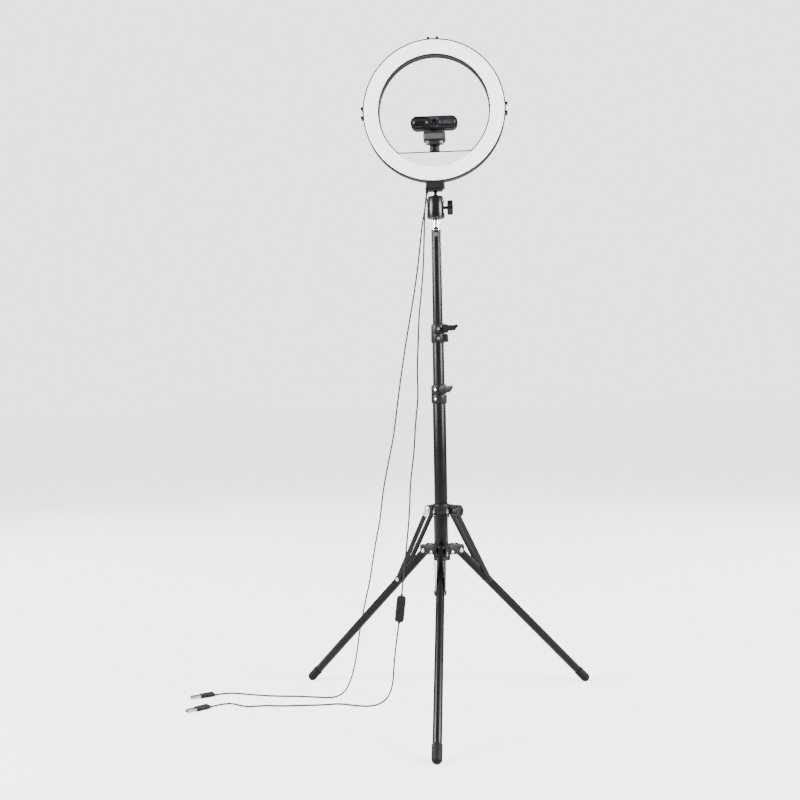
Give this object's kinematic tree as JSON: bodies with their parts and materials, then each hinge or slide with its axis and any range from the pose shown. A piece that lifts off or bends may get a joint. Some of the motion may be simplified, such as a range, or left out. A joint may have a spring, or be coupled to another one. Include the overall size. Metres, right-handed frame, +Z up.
{
  "type": "ring light webcam stand",
  "caption": "Round lamp with a flat lower panel and a clipped webcam, on a small ball head and a sliding column with three folding legs and two leads.",
  "frame": {"origin": "on the floor, under the middle of the box round the three feet", "axes": "+Z up, the lamp and the webcam face -Y, +X to the right as seen from behind the user facing it"},
  "size_m": [0.7885, 0.5024, 1.2637],
  "materials": {
    "satin_black_metal": "satin black anodised aluminium",
    "black_moulding": "fine-grained black nylon",
    "black_gloss": "polished black plastic",
    "grey_moulding": "dark grey satin plastic",
    "black_rubber": "matt black rubber",
    "bright_steel": "bright plated steel",
    "plain_steel": "zinc plated steel",
    "black_steel": "black painted steel",
    "white_diffuser": "frosted white acrylic",
    "panel_white": "satin white plastic",
    "circuit_board": "green laminate with white chips",
    "lead_jacket": "smooth dark grey PVC",
    "lens": "coated glass",
    "nylon": "natural nylon"
  },
  "bodies": {
    "stand": {"lower_tube": "satin_black_metal", "lower_crown": "black_moulding", "leg_pins_and_rivets": "plain_steel", "lower_clamp": "black_moulding", "lower_clamp_screws": "plain_steel", "webcam_lead": "lead_jacket", "lamp_lead": "lead_jacket", "controller_front": "black_moulding", "controller_back": "black_moulding", "controller_board": "circuit_board", "usb_plugs": "black_moulding"},
    "crown_slider": {"upper_crown": "black_moulding", "strut_pins": "plain_steel"},
    "crown_knob": {"crown_lock_knob": "black_moulding"},
    "leg_front": {"front_leg": "satin_black_metal", "front_foot": "black_rubber"},
    "leg_right": {"right_leg": "satin_black_metal", "right_foot": "black_rubber"},
    "leg_left": {"left_leg": "satin_black_metal", "left_foot": "black_rubber"},
    "strut_front": {"front_strut": "black_steel"},
    "strut_right": {"right_strut": "black_steel"},
    "strut_left": {"left_strut": "black_steel"},
    "middle_mast": {"middle_tube": "satin_black_metal", "middle_tube_bush": "nylon", "upper_clamp": "black_moulding", "upper_clamp_screws": "plain_steel"},
    "lower_lever": {"lower_clamp_lever": "black_moulding"},
    "upper_lever": {"upper_clamp_lever": "black_moulding"},
    "top_mast": {"top_tube": "satin_black_metal", "top_tube_bush": "nylon", "spigot": "bright_steel", "spigot_screw": "bright_steel"},
    "ball_body": {"ball_housing": "satin_black_metal", "ball_cup": "nylon"},
    "ball_knob": {"ball_lock_knob": "satin_black_metal"},
    "ball": {"ball_and_stud": "black_steel"},
    "head": {"neck_block": "black_moulding", "lead_boots": "black_rubber", "ring_back_shell": "black_moulding", "ring_diffuser": "white_diffuser", "fill_panel": "panel_white", "light_board": "circuit_board", "ring_screws": "plain_steel", "cold_shoes": "satin_black_metal", "camera_stud": "plain_steel"},
    "nut": {"camera_nut": "bright_steel"},
    "clip_base": {"clip_foot": "black_moulding", "clip_pads": "black_rubber"},
    "clip_block": {"clip_jaw": "black_moulding", "clip_hinge_pins": "black_steel"},
    "webcam": {"webcam_case": "black_moulding", "webcam_front_panel": "black_gloss", "lens_bezel": "grey_moulding", "lens_barrel": "black_gloss", "lens_glass": "lens", "sensor_board": "circuit_board"},
    "dim_key": {"dim_button": "black_moulding"},
    "mode_key": {"mode_button": "black_moulding"},
    "power_key": {"power_button": "black_moulding"}
  },
  "joints": [
    {"name": "front_leg_fold", "type": "hinge", "parent": "stand", "child": "leg_front", "pos_m": [0, 0.04475, 0.29], "axis": [-1, 0, 0], "range_deg": [0, 133]},
    {"name": "right_leg_fold", "type": "hinge", "parent": "stand", "child": "leg_right", "pos_m": [0.03118, 0.09875, 0.29], "axis": [0.5, -0.866, 0], "range_deg": [0, 133]},
    {"name": "left_leg_fold", "type": "hinge", "parent": "stand", "child": "leg_left", "pos_m": [-0.03118, 0.09875, 0.29], "axis": [0.5, 0.866, 0], "range_deg": [0, 133]},
    {"name": "crown_slide", "type": "slide", "parent": "stand", "child": "crown_slider", "axis": [0, 0, 1], "range_m": [0, 0.1642]},
    {"name": "front_strut_turn", "type": "hinge", "parent": "crown_slider", "child": "strut_front", "pos_m": [0, 0.05675, 0.368], "axis": [-1, 0, 0], "range_deg": [-22.9, 0]},
    {"name": "right_strut_turn", "type": "hinge", "parent": "crown_slider", "child": "strut_right", "pos_m": [0.02079, 0.09275, 0.368], "axis": [0.5, -0.866, 0], "range_deg": [-22.9, 0]},
    {"name": "left_strut_turn", "type": "hinge", "parent": "crown_slider", "child": "strut_left", "pos_m": [-0.02079, 0.09275, 0.368], "axis": [0.5, 0.866, 0], "range_deg": [-22.9, 0]},
    {"name": "crown_lock_turn", "type": "hinge", "parent": "crown_slider", "child": "crown_knob", "pos_m": [0, 0.08075, 0.368], "axis": [0.8387, -0.5446, 0], "range_deg": [-360, 0]},
    {"name": "middle_slide", "type": "slide", "parent": "stand", "child": "middle_mast", "axis": [0, 0, 1], "range_m": [-0.078, 0.185], "deforming": ["webcam_lead", "lamp_lead"]},
    {"name": "lower_lever_turn", "type": "hinge", "parent": "stand", "child": "lower_lever", "pos_m": [0.0142, 0.07255, 0.59745], "axis": [0.5, 0.866, 0], "range_deg": [-90, 0]},
    {"name": "top_slide", "type": "slide", "parent": "middle_mast", "child": "top_mast", "axis": [0, 0, 1], "range_m": [-0.164, 0.115], "deforming": ["webcam_lead", "lamp_lead"]},
    {"name": "upper_lever_turn", "type": "hinge", "parent": "middle_mast", "child": "upper_lever", "pos_m": [0.0164, 0.08075, 0.71245], "axis": [0, 1, 0], "range_deg": [-90, 0]},
    {"name": "head_pan", "type": "hinge", "parent": "top_mast", "child": "ball_body", "pos_m": [0, 0.08075, 0.9219], "axis": [0, 0, 1], "range_deg": [-180, 180], "deforming": ["webcam_lead", "lamp_lead"]},
    {"name": "ball_lock_turn", "type": "hinge", "parent": "ball_body", "child": "ball_knob", "pos_m": [0, 0.08075, 0.9415], "axis": [1, 0, 0], "range_deg": [-360, 0]},
    {"name": "ball_tilt", "type": "hinge", "parent": "ball_body", "child": "ball", "pos_m": [0, 0.08075, 0.9558], "axis": [1, 0, 0], "range_deg": [-90, 30], "deforming": ["webcam_lead", "lamp_lead"]},
    {"name": "neck_swivel", "type": "hinge", "parent": "ball", "child": "head", "pos_m": [0, 0.08075, 0.9732], "axis": [0, 0, 1], "range_deg": [-180, 180], "deforming": ["webcam_lead", "lamp_lead"]},
    {"name": "camera_nut_turn", "type": "hinge", "parent": "head", "child": "nut", "pos_m": [0, 0.08075, 1.052], "axis": [0, 0, 1], "range_deg": [-360, 360]},
    {"name": "clip_swivel", "type": "hinge", "parent": "head", "child": "clip_base", "pos_m": [0, 0.08075, 1.062], "axis": [0, 0, 1], "range_deg": [-180, 180]},
    {"name": "jaw_open", "type": "hinge", "parent": "clip_base", "child": "clip_block", "pos_m": [0, 0.09595, 1.0677], "axis": [-1, 0, 0], "range_deg": [0, 60]},
    {"name": "camera_tilt", "type": "hinge", "parent": "clip_block", "child": "webcam", "pos_m": [0, 0.08075, 1.0862], "axis": [1, 0, 0], "range_deg": [-25, 25]},
    {"name": "dim_press", "type": "slide", "parent": "stand", "child": "dim_key", "axis": [0.0063, 0.9986, 0.0517], "range_m": [0, 0.0006], "stiffness_N_per_m": 800},
    {"name": "mode_press", "type": "slide", "parent": "stand", "child": "mode_key", "axis": [0.0063, 0.9986, 0.0517], "range_m": [0, 0.0006], "stiffness_N_per_m": 800},
    {"name": "power_press", "type": "slide", "parent": "stand", "child": "power_key", "axis": [0.0063, 0.9986, 0.0517], "range_m": [0, 0.0006], "stiffness_N_per_m": 800}
  ],
  "couplings": [
    {"joint": "right_leg_fold", "follows": "front_leg_fold", "ratio": 1},
    {"joint": "left_leg_fold", "follows": "front_leg_fold", "ratio": 1},
    {"joint": "crown_slide", "follows": "front_leg_fold", "m_per_rad": 0.070573},
    {"joint": "front_strut_turn", "follows": "front_leg_fold", "ratio": -0.17083},
    {"joint": "right_strut_turn", "follows": "front_leg_fold", "ratio": -0.17083},
    {"joint": "left_strut_turn", "follows": "front_leg_fold", "ratio": -0.17083}
  ]
}
